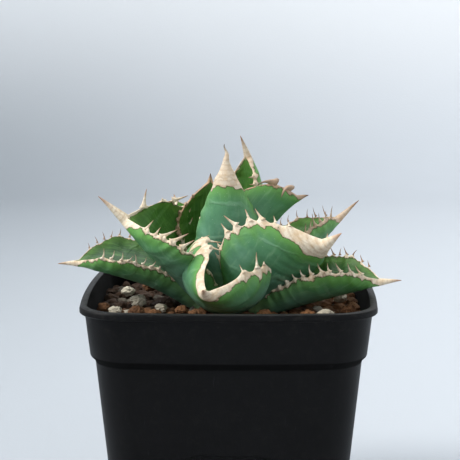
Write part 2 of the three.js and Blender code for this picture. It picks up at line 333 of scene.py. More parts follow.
def makeStudio(plan):
    reach = plan["floorReach"]
    flat = plan["flatShare"]
    steps = [(share, 0) for share in (0, 0.05, 0.3, 0.6, flat)]
    for a in np.linspace(0, math.pi / 2, 13)[1:]:
        steps.append((flat + (1 - flat) * math.sin(a), (1 - flat) * (1 - math.cos(a))))
    steps.append((1, 1))
    profile = [(out * reach, up * reach - plan["floorDrop"]) for out, up in steps]
    floor = wrapSkin("studioFloor", turnedRows(profile, plan["sides"]))
    editAll(floor)
    bpy.ops.mesh.normals_make_consistent(inside=True)
    bpy.ops.object.mode_set(mode="OBJECT")
    dress(floor, floorLook(plan))
    world = bpy.data.worlds.new("studioSky")
    bpy.context.scene.world = world
    world.use_nodes = True
    sky = world.node_tree.nodes["Background"]
    sky.inputs["Color"].default_value = plan["sky"] + (1,)
    sky.inputs["Strength"].default_value = plan["skyStrength"]
    for name, spot, size, watts, colour in plan["lights"]:
        data = bpy.data.lights.new(name, "AREA")
        data.shape = "DISK"
        data.size = size
        data.energy = watts
        data.color = colour
        light = bpy.data.objects.new(name, data)
        bpy.context.collection.objects.link(light)
        light.location = spot
        light.rotation_mode = "QUATERNION"
        light.rotation_quaternion = (Vector(plan["aim"]) - Vector(spot)).to_track_quat("-Z", "Y")
    bpy.context.scene.view_settings.view_transform = "Standard"


makeStudio(studio)
print("camera and studio placed")

# the square nursery pot, sizes in mm
potPlan = {
    "half": 43.7,
    "height": 80,
    "wall": 1.2,
    "corner": 13.5,
    "bow": 1.3,
    "lipHeight": 2.4,
    "lipOverhang": 1.4,
    "collarFootHalf": 41.0,
    "bodyTopHalf": 39.6,
    "footHalf": 33.7,
    "bodyTop": 63,
    "collarFoot": 65,
    "floor": 4.4,
    "panelWidth": 27,
    "panelHeight": 36,
    "panelDepth": 1.3,
    "panelCorner": 5,
    "channelWidth": 10,
    "channelHeight": 2.4,
    "channelStart": 12,
    "slitWidth": 5,
    "slitHeight": 12,
    "floorSlot": (13.5, 22.5),
    "floorSlotHeight": 10,
    "cutEdge": 0.3,
    "sharpest": 32,  # degrees, past which an edge stays crisp
    "plastic": [(5, 5, 6), (10, 10, 11)],
    "scuff": (44, 45, 48),
    "dust": (100, 96, 90),
    # painted shade colour, for the groove under the collar and the inner wall
    "shade": (1, 1, 1),
}
soilTop = 74


def potRing(plan, halfWidth, z, inset, share=1):
    # one level of the pot: a rounded square with bowed sides, pressed in where the panels are
    bow = plan["bow"] * (0.4 + 0.6 * z / plan["height"])
    corner = plan["corner"] * (0.75 + 0.25 * z / plan["height"]) - inset
    half = halfWidth - inset
    flat = half - corner
    edge = plan["panelWidth"] / 2 + inset
    steps = [np.linspace(-flat, -edge - 0.4, 7)[:-1], np.array([-edge - 0.4, -edge, -edge + 0.4])]
    steps += [np.linspace(-edge + 0.8, edge - 0.8, 17), np.array([edge - 0.4, edge, edge + 0.4])]
    steps += [np.linspace(edge + 0.4, flat, 7)[1:-1]]
    across = np.concatenate(steps)
    out = half + bow * (1 - (across / flat) ** 2)
    slope = (plan["bodyTopHalf"] - plan["footHalf"]) / plan["bodyTop"]
    panel = plan["footHalf"] + 0.4 * plan["bow"] - plan["panelDepth"] - inset + slope * z
    radius = plan["panelCorner"] + inset
    sideRoom = edge - np.abs(across)
    topRoom = plan["panelHeight"] + inset - z
    rounded = radius - np.hypot(radius - sideRoom, radius - topRoom)
    room = np.where((sideRoom < radius) & (topRoom < radius), rounded, np.minimum(sideRoom, topRoom))
    out = out - soften((room + 0.3) / 0.6) * np.maximum(out - panel, 0)
    a = np.linspace(0, math.pi / 2, 17)[:-1]
    x = np.concatenate([out, flat + corner * np.cos(a)])
    y = np.concatenate([across, flat + corner * np.sin(a)])
    ring = []
    for quarter in range(4):
        c, s = math.cos(quarter * math.pi / 2), math.sin(quarter * math.pi / 2)
        ring.append(np.column_stack([x * c - y * s, x * s + y * c]))
    ring = np.concatenate(ring + [ring[0][:1]]) * share
    return np.column_stack([ring, np.full(len(ring), z)])


def potLevels(plan, start, startHalf):
    # heights of the body wall, closer together round the panel's top edge
    panelTop = plan["panelHeight"]
    heights = list(np.linspace(start, panelTop - 6, 9))
    heights += list(np.arange(panelTop - 5.5, panelTop + 1.9, 0.4))
    heights += [40, 44, 48, 52, 56, 60, plan["bodyTop"] - 1]
    halves = np.interp(heights, [start, plan["bodyTop"]], [startHalf, plan["bodyTopHalf"]])
    return [(float(half), z) for half, z in zip(halves, heights)]


def potSkin(plan):
    top = plan["height"]
    lip = plan["half"]
    collarHalf = lip - plan["lipOverhang"]
    collarFoot = plan["collarFootHalf"]
    bodyHalf = plan["bodyTopHalf"]
    foot = plan["footHalf"]
    lipFoot = top - plan["lipHeight"]
    collarLow = plan["collarFoot"]
    bodyTop = plan["bodyTop"]
    rows = [potRing(plan, foot - 0.9, 0, 0, share) for share in (0, 0.35, 0.7)]
    outside = [(foot - 0.9, 0), (foot - 0.65, 0.05), (foot - 0.25, 0.3), (foot, 0.9)]
    outside += potLevels(plan, 1.6, foot)
    outside += [(bodyHalf + 0.03, bodyTop - 0.2), (bodyHalf + 0.16, bodyTop + 0.3)]
    outside += [(collarFoot - 0.2, collarLow - 0.4), (collarFoot - 0.02, collarLow + 0.1)]
    outside += [(collarFoot + 0.5, collarLow + 4.8), (collarHalf - 0.35, lipFoot - 3.4)]
    outside += [(collarHalf - 0.03, lipFoot - 0.4), (collarHalf + 0.05, lipFoot)]
    outside += [(collarHalf + 0.5, lipFoot + 0.12), (lip - 0.25, lipFoot + 0.3)]
    outside += [(lip - 0.02, lipFoot + 0.6), (lip, top - 0.9)]
    outside += [(lip - 0.06, top - 0.45), (lip - 0.25, top - 0.14), (lip - 0.6, top)]
    rows += [potRing(plan, half, z, 0) for half, z in outside]
    inside = [(collarHalf + 0.8, top), (collarHalf + 0.52, top - 0.12), (collarHalf + 0.42, top - 0.5)]
    inside += [(collarHalf, lipFoot), (collarFoot, collarLow), (bodyHalf, bodyTop - 0.1)]
    inside += potLevels(plan, plan["floor"] + 1.2, foot + 0.3)[::-1]
    inside += [(foot - 0.1, plan["floor"] + 0.4), (foot - 0.8, plan["floor"])]
    rows += [potRing(plan, half, z, plan["wall"]) for half, z in inside]
    rows += [potRing(plan, foot - 0.8, plan["floor"], plan["wall"], share) for share in (0.7, 0.35, 0)]
    return wrapSkin("pot_shell", np.array(rows))


def cutBlocks(shell, name, width, near, far, height, edge):
    # four equal blocks, one on each side, taken out of the shell
    blocks = []
    for quarter in range(4):
        clearSelection()
        middle = (near + far) / 2
        a = quarter * math.pi / 2
        spot = (middle * math.sin(a) * mm, -middle * math.cos(a) * mm, 0)
        bpy.ops.mesh.primitive_cube_add(size=1, location=spot)
        block = bpy.context.active_object
        turned = quarter % 2 == 1
        size = (far - near, width) if turned else (width, far - near)
        block.scale = (size[0] * mm, size[1] * mm, height * 2 * mm)
        bpy.ops.object.transform_apply(location=True, rotation=True, scale=True)
        editAll(block)
        bpy.ops.mesh.bevel(offset=edge * mm, segments=2)
        bpy.ops.object.mode_set(mode="OBJECT")
        blocks.append(block)
    cutter = joinPieces(blocks[0], blocks[1:])
    cut = shell.modifiers.new(name, "BOOLEAN")
    cut.operation = "DIFFERENCE"
    cut.solver = "EXACT"
    cut.object = cutter
    pickOnly(shell)
    bpy.ops.object.modifier_apply(modifier=name)
    bpy.data.objects.remove(cutter)


def blackPlastic(plan):
    look = Look("blackPlastic")
    spot = look.place()
    broad = look.noise(spot, 0.08, 3)
    fine = look.noise(spot, 3.2, 4, 0.6)
    pebble = look.cells(spot, 1.9)
    height = look.height(spot)
    within = look.attribute("within")
    scuffs = look.noise(look.stretch(spot, (1, 1, 0.05)), 1.4, 4, 0.7).ramp(0.62, 0.74)
    scuffs = scuffs * look.noise(spot, 0.12, 2).ramp(0.45, 0.65)
    dust = look.noise(spot, 0.5, 5, 0.75).ramp(0.48, 0.72) * (0.25 + 0.75 * height.ramp(70, 80))
    tone = look.mix(broad, *shades(plan["plastic"]))
    tone = look.mix(scuffs * 0.35, tone, screen(*plan["scuff"]))
    tone = look.mix(dust * 0.1, tone, screen(*plan["dust"]))
    # painted shade: the groove under the collar and the inner wall lie in shade, so their colour is
    # darkened to near black
    above = height.ramp(plan["bodyTop"] - 0.6, plan["bodyTop"] + 0.1)
    groove = above * (1 - height.ramp(plan["collarFoot"] - 0.3, plan["collarFoot"] + 0.3))
    tone = look.mix(within.most(groove * 0.9), tone, screen(*plan["shade"]))
    rough = 0.42 + fine * 0.1 + dust * 0.22 + scuffs * 0.1 + within.most(groove) * 0.45
    relief = fine * 0.5 + pebble * 0.35 + scuffs * -0.4
    look.set(Base_Color=tone, Roughness=rough, Normal=look.bump(relief, 0.00006, 0.7))
    look.set(Specular_IOR_Level=0.12, IOR=1.5)
    return look.material


def makePot(plan):
    shell = potSkin(plan)
    foot = plan["footHalf"]
    edge = plan["cutEdge"]
    slit = plan["slitWidth"]
    channel = (plan["channelWidth"], plan["channelStart"], foot + 4, plan["channelHeight"], edge)
    cutBlocks(shell, "drainChannels", *channel)
    cutBlocks(shell, "sideSlits", slit, foot - 3, foot + 3, plan["slitHeight"], edge)
    cutBlocks(shell, "floorSlots", slit, *plan["floorSlot"], plan["floorSlotHeight"], edge)
    # the wall's inner face, below the lip, marked for painted shade
    normals = np.array([tuple(vertex.normal) for vertex in shell.data.vertices])
    places = readPlaces(shell.data)
    within = (places[:, :2] * normals[:, :2]).sum(axis=1) < 0
    setValues(shell.data, "within", within * (places[:, 2] < (plan["height"] - 0.3) * mm))
    pickOnly(shell)
    bpy.ops.object.shade_smooth_by_angle(angle=plan["sharpest"] * rad)
    dress(shell, blackPlastic(plan))
    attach(shell, "root")
    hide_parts("pot")
    return shell


pot = makePot(potPlan)
print("pot finished", len(pot.data.polygons))

# leaves: sizes in mm and angles in degrees, from the stem outwards. Each tooth row is
# side (1 left of the leaf's heading, -1 right), first and last place, spacing, length, lean to the tip
leafDefaults = {
    "bend": 1,
    "roll": 0,
    "sweep": 0,
    "widest": 0.6,
    "taper": 0.9,
    "shift": 0,
    "root": 1.4,  # radius of the end spine where it leaves the blade
    "crook": 0,  # how far the end spine wanders
    "swell": 1,  # how far the margin bulges under each tooth
    "hang": 0,  # how strongly single teeth droop
    "open": (1, 1),  # below 1 flattens the left or the right half, above 1 curls it over
    "reach": (1, 1),  # above 1 widens the left or the right half
    "cap": 0.97,
    "band": 0.5,
    "tone": 0.5,
    # painted light on the inner side: 0 paints it shaded and dark, 1 lit and bright
    "innerPaintedLight": 0.3,
    "darkTip": 0.4,
    "hornTone": 0.25,
    "slim": 1,  # tooth girth
    "bandSides": (1, 1),  # above 1 broadens the horn of the left or the right margin
    "darkSide": 0,  # the side whose teeth are dark and thin
    "rows": [(1, 14, 34, 3.1, 2.1, 0.0), (-1, 14, 34, 3.1, 2.1, 0.0)],
    "own": [],  # single teeth: side, place, length, then how far out, to the tip and up they point
}
leafShapes = {
    "leaf_heart": dict(
        azimuth=100, startRadius=0, startLift=11, blade=18, spine=6, rise=(88, 90), width=12,
        thick=4, channel=60, rows=[(1, 8, 14, 3, 1.2, 0.4), (-1, 8, 14, 3, 1.2, 0.4)],
    ),
    "leaf_centre": dict(
        azimuth=266, startRadius=5, startLift=6, blade=42, spine=5, rise=(60, 94), bend=0.7, width=24,
        thick=5, channel=78, widest=0.335, taper=1.15, root=0.7, crook=0.7, cap=0.79, band=0.35,
        tone=0.7, darkTip=1, open=(0.8, 1), hornTone=0.3,
        rows=[(1, 12, 30, 3.1, 1.1, 0.1), (-1, 12, 30, 3.1, 1.1, 0.1)],
    ),
    "leaf_inner_right": dict(
        azimuth=352, startRadius=4.5, startLift=11, blade=31, spine=3.5, rise=(92, 8), width=27, thick=4.5,
        channel=60, roll=-28, root=0.9, cap=0.99, band=0.6, tone=0.7, hornTone=0.75, darkTip=0.9,
        swell=0.45, hang=2.2, rows=[(1, 12, 29, 2.8, 1.5, 0.0), (-1, 8, 22, 3.4, 1.8, -0.2)],
        own=[(-1, 26.6, 7.6, 0.55, -0.3, -0.8), (-1, 29.4, 6.4, 0.5, 0.0, -0.85)],
    ),
    "leaf_inner_left": dict(
        azimuth=102, startRadius=6, startLift=7, blade=31, spine=3, rise=(74, 98), width=26, thick=4.5,
        channel=55, widest=0.6, shift=-4.5, root=0.8, hornTone=0.8, darkTip=0.9, band=0.45,
        rows=[(1, 10, 29, 2.4, 1.8, 0.0), (-1, 12, 29, 2.6, 1.5, 0.0)],
    ),
    "leaf_back": dict(
        azimuth=42, startRadius=6.5, startLift=8, blade=39, spine=7.5, rise=(64, 116), width=23, thick=4.5,
        channel=60, widest=0.5, shift=-1.6, root=1.0, cap=0.96, band=0.8, hornTone=0.35,
        rows=[(1, 12, 34, 3.1, 1.6, 0.0), (-1, 12, 34, 2.6, 1.6, 0.0)],
    ),
    "leaf_front": dict(
        azimuth=262, startRadius=6, startLift=3, blade=30, spine=4.5, rise=(8, 22), width=38, thick=6,
        channel=105, roll=-16, sweep=-8, widest=0.5, band=1.25, bandSides=(1, 1.7), tone=0.75,
        innerPaintedLight=0.9, darkTip=0.3, open=(1, 1.25), reach=(1.04, 1.16), hornTone=0.12, cap=0.93,
        rows=[(1, 14, 16, 2.3, 2.6, 0.1)],
        own=[
            (-1, 18.8, 4.5, 0.7, -0.15, 0.7), (-1, 21.6, 3.6, 0.65, -0.2, 0.75),
            (1, 20.5, 4.4, 0.95, 0.1, 0.1), (1, 17.8, 2.2, 0.9, -0.3, 0.2), (1, 24, 2.4, 0.9, 0.2, 0.5),
            (1, 15.6, 2.0, 1, 0.2, 0.3), (-1, 16.4, 2.2, 0.8, 0.3, 0.3),
        ],
    ),
    "leaf_right_front": dict(
        azimuth=318, startRadius=6, startLift=3, blade=37, spine=6.5, rise=(36, 30), width=36, thick=6,
        channel=62, roll=-24, sweep=10, widest=0.48, cap=0.84, band=0.95, darkTip=0.15, root=1.6,
        reach=(1, 1.22), hornTone=0.12, rows=[(1, 12, 33, 3.2, 2.4, 0.0), (-1, 11, 15.5, 3.4, 1.7, -0.2)],
        own=[
            (-1, 18.2, 3.0, 1, -0.1, 0.2), (-1, 21, 4.6, 0.9, -0.35, -0.2), (-1, 24.4, 3.6, 1, 0.2, 0.1),
            (-1, 27, 3.8, 1, -0.1, -0.1), (-1, 29.5, 1.6, 1, 0.3, 0.0), (-1, 32, 1.4, 1, 0.2, 0.2),
        ],
    ),
    "leaf_left": dict(
        azimuth=204, startRadius=7, startLift=2, blade=38, spine=11, rise=(50, 38), width=36, thick=5.5,
        channel=72, roll=-31, sweep=-12, widest=0.62, cap=0.95, band=0.45, slim=0.85, hornTone=0.05,
        darkTip=0.2, rows=[(1, 15, 23, 3.2, 1.3, 0.2), (-1, 8, 26, 3.0, 2.2, 0.0)],
        own=[
            (-1, 35.4, 5.6, 0.75, 0.6, -0.2), (-1, 31.5, 2.6, 0.3, -0.8, 0.3),
            (-1, 28.6, 4.8, 0.8, -0.55, 0.1), (1, 33.4, 3.4, 0.8, 0.1, 0.6),
            (1, 31.2, 2.4, 0.7, 0.2, 0.7), (1, 29.6, 5, 0.75, -0.4, 0.5),
            (1, 27, 5.4, 0.8, -0.35, 0.5), (1, 24.2, 4.4, 0.85, -0.2, 0.3),
        ],
    ),
    "leaf_left_back": dict(
        azimuth=142, startRadius=9, startLift=5, blade=30, spine=3, rise=(54, 62), width=22,
        thick=4.5, channel=50, shift=2.4, root=0.8, innerPaintedLight=1.0,
        rows=[(1, 8, 28, 2.8, 1.9, 0.0), (-1, 12, 28, 2.8, 1.7, 0.0)],
    ),
    "leaf_right_back": dict(
        azimuth=22, startRadius=6, startLift=4, blade=38, spine=10, rise=(34, 34), width=26, thick=5,
        channel=64, roll=-5, sweep=4, darkTip=0.6, root=1.1, hornTone=0.6, band=0.45, darkSide=1,
        slim=0.6, swell=0.5, rows=[(1, 10, 37, 2.4, 2.7, 0.1), (-1, 10, 37, 2.4, 3.0, 0.3)],
    ),
    "leaf_low_left": dict(
        azimuth=186, startRadius=8, startLift=1, blade=42.5, spine=6.5, rise=(45, -6), bend=0.75, width=27,
        thick=6, channel=54, roll=-7, sweep=4, widest=0.64, innerPaintedLight=0.0, root=1.0, band=0.4,
        hornTone=0.1, cap=1.0, tone=0.35, darkSide=-1, open=(0.8, 1), slim=0.62, swell=0.45,
        rows=[(1, 12, 37, 2.5, 2.6, -0.45), (-1, 12, 40, 2.7, 1.9, -0.1)],
    ),
    "leaf_low_right": dict(
        azimuth=343, startRadius=8, startLift=0, blade=41, spine=7, rise=(26, 2), bend=0.8, width=28,
        thick=6, channel=58, roll=4, sweep=4, widest=0.62, innerPaintedLight=0.05, root=1.1, band=0.5,
        hornTone=0.1, cap=0.98, tone=0.35, darkSide=1, slim=0.75, swell=0.7,
        rows=[(1, 12, 39, 2.6, 2.4, -0.2), (-1, 8, 38, 2.6, 2.7, -0.6)],
    ),
    "leaf_low_back_right": dict(
        azimuth=55, startRadius=8, startLift=1, blade=40, spine=8, rise=(25, 20), width=25, thick=6,
        channel=48, rows=[(1, 12, 37, 3.1, 2.1, -0.2), (-1, 12, 37, 3.1, 2.1, -0.2)],
    ),
    "leaf_low_back_left": dict(
        azimuth=112, startRadius=8, startLift=1, blade=40, spine=8, rise=(30, 20), width=25, thick=6,
        channel=48, rows=[(1, 12, 37, 3.1, 2.1, -0.2), (-1, 12, 37, 3.1, 2.1, -0.2)],
    ),
}
leafSkinPlan = {
    "stations": 170,
    "columns": 92,
    "baseShare": 0.55,  # breadth at the base, as a share of the widest
    "spineTip": 0.06,
    "rim": 0.8,
    "scallop": 1.25,  # how far the margin stands out under a tooth
    "scallopLength": 0.8,
    "fullTooth": 2.6,  # the length of a tooth that makes a whole scallop
    "mostSwell": 1.3,
    "ripple": 0.1,
    "flutter": 0.35,
    "outerShare": 0.88,  # of the thickness, outside the leaf's middle surface
    "capRagged": 0.4,
}


def leafPath(leaf, s):
    # the middle line with its forward, sideways and upward directions
    total = leaf["blade"] + leaf["spine"]
    k = s / total
    heading = (leaf["azimuth"] + leaf["sweep"] * k**1.5) * rad
    low, high = leaf["rise"]
    rise = (low + (high - low) * k ** leaf["bend"]) * rad
    level = np.stack([np.cos(heading), np.sin(heading), np.zeros_like(heading)], axis=1)
    forward = level * np.cos(rise)[:, None] + np.array([0, 0, 1]) * np.sin(rise)[:, None]
    start = leaf["azimuth"] * rad
    base = np.array([math.cos(start), math.sin(start), 0]) * leaf["startRadius"]
    base += (leaf["shift"], 0, leaf["startLift"] + soilTop)
    steps = (forward[1:] + forward[:-1]) / 2 * np.diff(s)[:, None]
    place = base + np.concatenate([np.zeros((1, 3)), np.cumsum(steps, axis=0)])
    sideways = np.stack([-np.sin(heading), np.cos(heading), np.zeros_like(heading)], axis=1)
    turn = (leaf["roll"] * np.minimum(k * 1.6, 1) * rad)[:, None]
    side = sideways * np.cos(turn) + np.cross(forward, sideways) * np.sin(turn)
    late = np.clip((s - leaf["blade"]) / leaf["spine"], 0, 1)
    place = place + side * (leaf["crook"] * np.sin(late * 5.5) * late)[:, None]
    return place, forward, side, np.cross(forward, side)


def leafBreadth(leaf, s, plan):
    t = np.minimum(s / leaf["blade"], 1)
    beyond = np.maximum((s - leaf["blade"]) / leaf["spine"], 0)
    widest = leaf["width"] / 2
    growing = plan["baseShare"] + (1 - plan["baseShare"]) * soften(t / leaf["widest"])
    late = np.maximum((t - leaf["widest"]) / (1 - leaf["widest"]), 0)
    fading = np.maximum(np.cos(math.pi / 2 * late), 0) ** leaf["taper"]
    root = leaf["root"]
    breadth = np.where(t < leaf["widest"], widest * growing, root + (widest - root) * fading)
    flesh = leaf["thick"] * along([0, 0.25, 0.6, 0.85, 1], [1, 1, 0.8, 0.55, 0.5], t)
    thickness = flesh + (2 * root - flesh) * soften((t - 0.85) / 0.15)
    spine = plan["spineTip"] + (root - plan["spineTip"]) * (1 - np.minimum(beyond, 1)) ** 0.9
    breadth = np.where(beyond > 0, spine, breadth)
    thickness = np.where(beyond > 0, spine * 2, thickness)
    opening = leaf["channel"] * along([0, 0.25, 0.55, 0.8, 1], [0.6, 0.75, 0.9, 1, 0.9], t)
    return breadth, thickness, opening * rad * (1 - 0.8 * beyond), t, beyond


def halfShape(leaf, hand, t):
    # how much one half of the blade is widened and flattened; both fade at its ends
    pick = 0 if hand > 0 else 1
    wider = 1 + (leaf["reach"][pick] - 1) * soften(t / 0.35) * soften((1 - t) / 0.12)
    flatter = 1 + (leaf["open"][pick] - 1) * soften((1 - t) / 0.2)
    return wider, flatter


def toothPlaces(leaf, chance):
    # where each tooth stands: side, place, length, and its way out, to the tip and up
    teeth = [tuple(tooth) for tooth in leaf["own"]]
    for side, first, last, spacing, length, lean in leaf["rows"]:
        s = first
        while s <= last:
            size = length * chance.uniform(0.7, 1.25)
            way = (1, lean + chance.uniform(-0.3, 0.3), chance.uniform(-0.1, 0.4))
            if all(side != tooth[0] or abs(s - tooth[1]) > 1.6 for tooth in leaf["own"]):
                teeth.append((side, s, size) + way)
            s += spacing * chance.uniform(0.75, 1.25)
    return teeth


def upright(row):
    return row[:, None]


def padEnds(grid):  # repeats the first and the last row, for the rings that close the ends
    return np.concatenate([grid[:1], grid, grid[-1:]])


def growBlade(name, leaf, teeth, plan):
    total = leaf["blade"] + leaf["spine"]
    s = total * np.linspace(0, 1, plan["stations"])
    place, forward, side, up = leafPath(leaf, s)
    breadth, thickness, angle, t, beyond = leafBreadth(leaf, s, plan)
    turns = np.linspace(0, 2 * math.pi, plan["columns"] + 1)
    u = np.cos(turns)[None, :]
    face = np.where(np.sin(turns) >= 0, 1.0, -1.0)[None, :]
    live = upright(soften((1 - t) * 8) * (beyond <= 0))
    swell = np.zeros((len(s), 2))
    for hand, spot, length in (tooth[:3] for tooth in teeth):
        amount = min(length / plan["fullTooth"], 1.4) * leaf["swell"]
        swell[:, 0 if hand > 0 else 1] += bell(s - spot, plan["scallopLength"]) * amount
    swell = np.minimum(swell, plan["mostSwell"])
    bumps = np.where(u > 0, upright(swell[:, 0]), upright(swell[:, 1]))
    reach = np.abs(u) ** 3
    left, right = halfShape(leaf, 1, t), halfShape(leaf, -1, t)
    wider = np.where(u > 0, upright(left[0]), upright(right[0]))
    flatter = np.where(u > 0, upright(left[1]), upright(right[1]))
    radius = upright(breadth / angle) * wider / flatter
    spread = upright(angle) * flatter + plan["scallop"] * bumps * live * reach / radius
    rim = plan["rim"] * (0.55 + 0.45 * bumps * live)
    rim = np.minimum(rim, upright(np.minimum(breadth, thickness / 2)))
    edgeRoom = upright(breadth) * wider * (1 - np.abs(u))
    rimHalf = rim / 2
    rimRound = np.sqrt(np.clip(1 - (1 - np.minimum(edgeRoom / rimHalf, 1)) ** 2, 0, 1)) * rimHalf
    plump = (1 - np.abs(u) ** 2.2) ** 0.8 * np.maximum(upright(thickness) - rim, 0)
    wave = np.sin(upright(s) * 1.15 + u * 1.7 + leaf["azimuth"]) * plan["ripple"]
    wave = wave * bell(np.abs(u) - 0.72, 0.22) * live * 2
    outer = plan["outerShare"]
    offset = np.where(face > 0, (1 - outer) * plump + rimRound, -outer * plump - rimRound) + wave
    a = u * spread
    across = (radius - offset) * np.sin(a)
    above = radius - (radius - offset) * np.cos(a)
    flutter = np.sin(upright(s) * 0.75 + np.sign(u) * 1.3 + leaf["azimuth"] * 0.7) * plan["flutter"]
    above = above + flutter * reach * live
    rows = place[:, None, :] + across[..., None] * side[:, None, :] + above[..., None] * up[:, None, :]
    base, tip = endRings(rows)
    rows = np.concatenate([base, rows, tip + forward[-1] * 0.05])
    # horn: millimetres past the edge of the horn, on the margin band or the cap
    cap = leaf["cap"] * leaf["blade"]
    band = leaf["band"] * np.where(u > 0, *leaf["bandSides"])
    band = band * (0.55 + 1.5 * bumps) * soften(upright(s - 3) / 6)
    capEdge = 2.6 * u**2 + plan["capRagged"] * np.sin(u * 11 + leaf["azimuth"]) - 1.2
    grids = {
        "horn": np.maximum(band - edgeRoom, upright(s) - cap + capEdge),
        "reach": upright(s),
        "across": u * upright(breadth),
        "inner": (face + 1) / 2,
        "tip": upright(beyond),
        "along": upright(t),
    }
    size = (len(s), len(turns))
    values = {key: padEnds(np.broadcast_to(grid, size)) for key, grid in grids.items()}
    return wrapSkin(name, rows, {**values, "hornTone": leaf["hornTone"]})


# teeth: curved cones, sunk into the margin; girths are a fixed part and a part for each mm of length
toothPlan = {
    "rows": 10,
    "sides": 10,
    "sunk": 0.5,
    "wide": (0.38, 0.17),
    "thin": (0.28, 0.1),
    "curl": 1.15,
    "curlSpread": 0.75,
    "darkGirth": 0.75,
    "darkTone": 0.95,
}


def growTeeth(leaf, teeth, plan, skin, name):
    fine = (leaf["blade"] + leaf["spine"]) * np.linspace(0, 1, skin["stations"])
    place, forward, side, up = leafPath(leaf, fine)
    breadth, _, angle, t, _ = leafBreadth(leaf, fine, skin)
    k = np.linspace(0, 1, plan["rows"])[:, None]
    turns = np.linspace(0, 2 * math.pi, plan["sides"] + 1)
    ringX, ringY = np.cos(turns)[None, :, None], np.sin(turns)[None, :, None]
    shrink = (1 - k) ** 0.75 * (0.5 + 0.75 * np.exp(-k * 6)) + 0.03
    copies = []
    for hand, s, length, outward, lean, tilt in teeth:
        i = min(int(np.searchsorted(fine, s)), len(fine) - 1)
        wider, flatter = halfShape(leaf, hand, t[i])
        radius = breadth[i] / angle[i] * wider / flatter
        a = hand * (angle[i] * flatter + skin["scallop"] * 0.8 / radius)
        root = place[i] + side[i] * radius * math.sin(a) + up[i] * radius * (1 - math.cos(a))
        out = hand * (side[i] * math.cos(a) + up[i] * math.sin(a))
        normal = -side[i] * math.sin(a) + up[i] * math.cos(a)
        aim = out * outward + forward[i] * lean + normal * tilt
        aim /= np.linalg.norm(aim)
        curl = forward[i] * (1.1 if lean >= 0 else 0.5) + normal * (0.4 if lean > -0.3 else 1.0)
        if (hand, s, length, outward, lean, tilt) in leaf["own"]:
            curl = out * 0.35 - (out + forward[i] * 0.4) * leaf["hang"]
        ways = aim + curl * k * (plan["curl"] + plan["curlSpread"] * math.sin(s * 7.3 + hand))
        ways /= np.linalg.norm(ways, axis=1, keepdims=True)
        line = np.concatenate([np.zeros((1, 3)), np.cumsum((ways[1:] + ways[:-1]) / 2, axis=0)])
        line = line * (length + plan["sunk"]) / (plan["rows"] - 1) + root - aim * plan["sunk"]
        broad = np.cross(ways, np.cross(forward[i], ways))
        broad /= np.linalg.norm(broad, axis=1, keepdims=True)
        flank = np.cross(ways, broad)
        dark = hand == leaf["darkSide"]
        girth = shrink * leaf["slim"] * (plan["darkGirth"] if dark else 1)
        wide, thin = ((plain + each * length) * girth for plain, each in (plan["wide"], plan["thin"]))
        rows = line[:, None, :] + ringX * (broad * wide)[:, None, :] + ringY * (flank * thin)[:, None, :]
        base, end = endRings(rows)
        share = np.concatenate([[0], k[:, 0], [1]])[:, None]
        same = np.ones_like(share)
        values = {
            "horn": same,
            "reach": s + share * length,
            "across": same * hand * breadth[i],
            "inner": same * 0.5,
            "tip": share,
            "along": same * t[i],
            "hornTone": same * (plan["darkTone"] if dark else leaf["hornTone"]),
        }
        copies.append((np.concatenate([base, rows, end]), values))
    stack = np.concatenate([rows for rows, values in copies])
    merged = {key: np.concatenate([values[key] for rows, values in copies]) for key in values}
    piece = gridPiece(name + "_teeth", stack, merged)
    # the strips of faces between two teeth are taken out
    each = plan["rows"] + 2
    strip = np.arange(len(piece.data.polygons)) // plan["sides"] % each == each - 1
    pickOnly(piece)
    bpy.ops.object.mode_set(mode="EDIT")
    bpy.ops.mesh.select_mode(type="FACE")
    bpy.ops.mesh.select_all(action="DESELECT")
    bpy.ops.object.mode_set(mode="OBJECT")
    piece.data.polygons.foreach_set("select", strip)
    bpy.ops.object.mode_set(mode="EDIT")
    bpy.ops.mesh.delete(type="ONLY_FACE")
    bpy.ops.mesh.select_mode(type="VERT")
    bpy.ops.object.mode_set(mode="OBJECT")
    closeSkin(piece)
    return piece


leafColours = {
    "backFresh": (62, 118, 44),
    "backBlue": (82, 138, 82),
    "thinWax": (82, 128, 112),
    "thickWax": (122, 165, 150),
    "backMottle": (54, 106, 62),
    "backStreak": (146, 184, 142),
    "imprint": (160, 196, 166),
    "backEdge": (116, 168, 66),
    "innerDeep": (24, 66, 18),
    "innerBright": (96, 154, 58),
    "innerStreak": (110, 160, 78),
    "innerMottle": (42, 92, 44),
    "innerEdge": (112, 152, 66),
    "speck": (206, 214, 190),
    "paleBase": (150, 172, 120),
    "scar": (158, 142, 92),
    "border": (70, 52, 30),
    "ivory": (236, 226, 204),
    "ivoryMottle": (214, 194, 164),
    "oldHorn": (150, 116, 92),
    "growthLine": (172, 140, 104),
    "stipple": (134, 94, 64),
    "hornEdge": (158, 116, 80),
    "capRing": (150, 118, 84),
    "stain": (196, 160, 112),
    "lightTip": (176, 124, 92),
    "darkTip": (34, 24, 22),
}


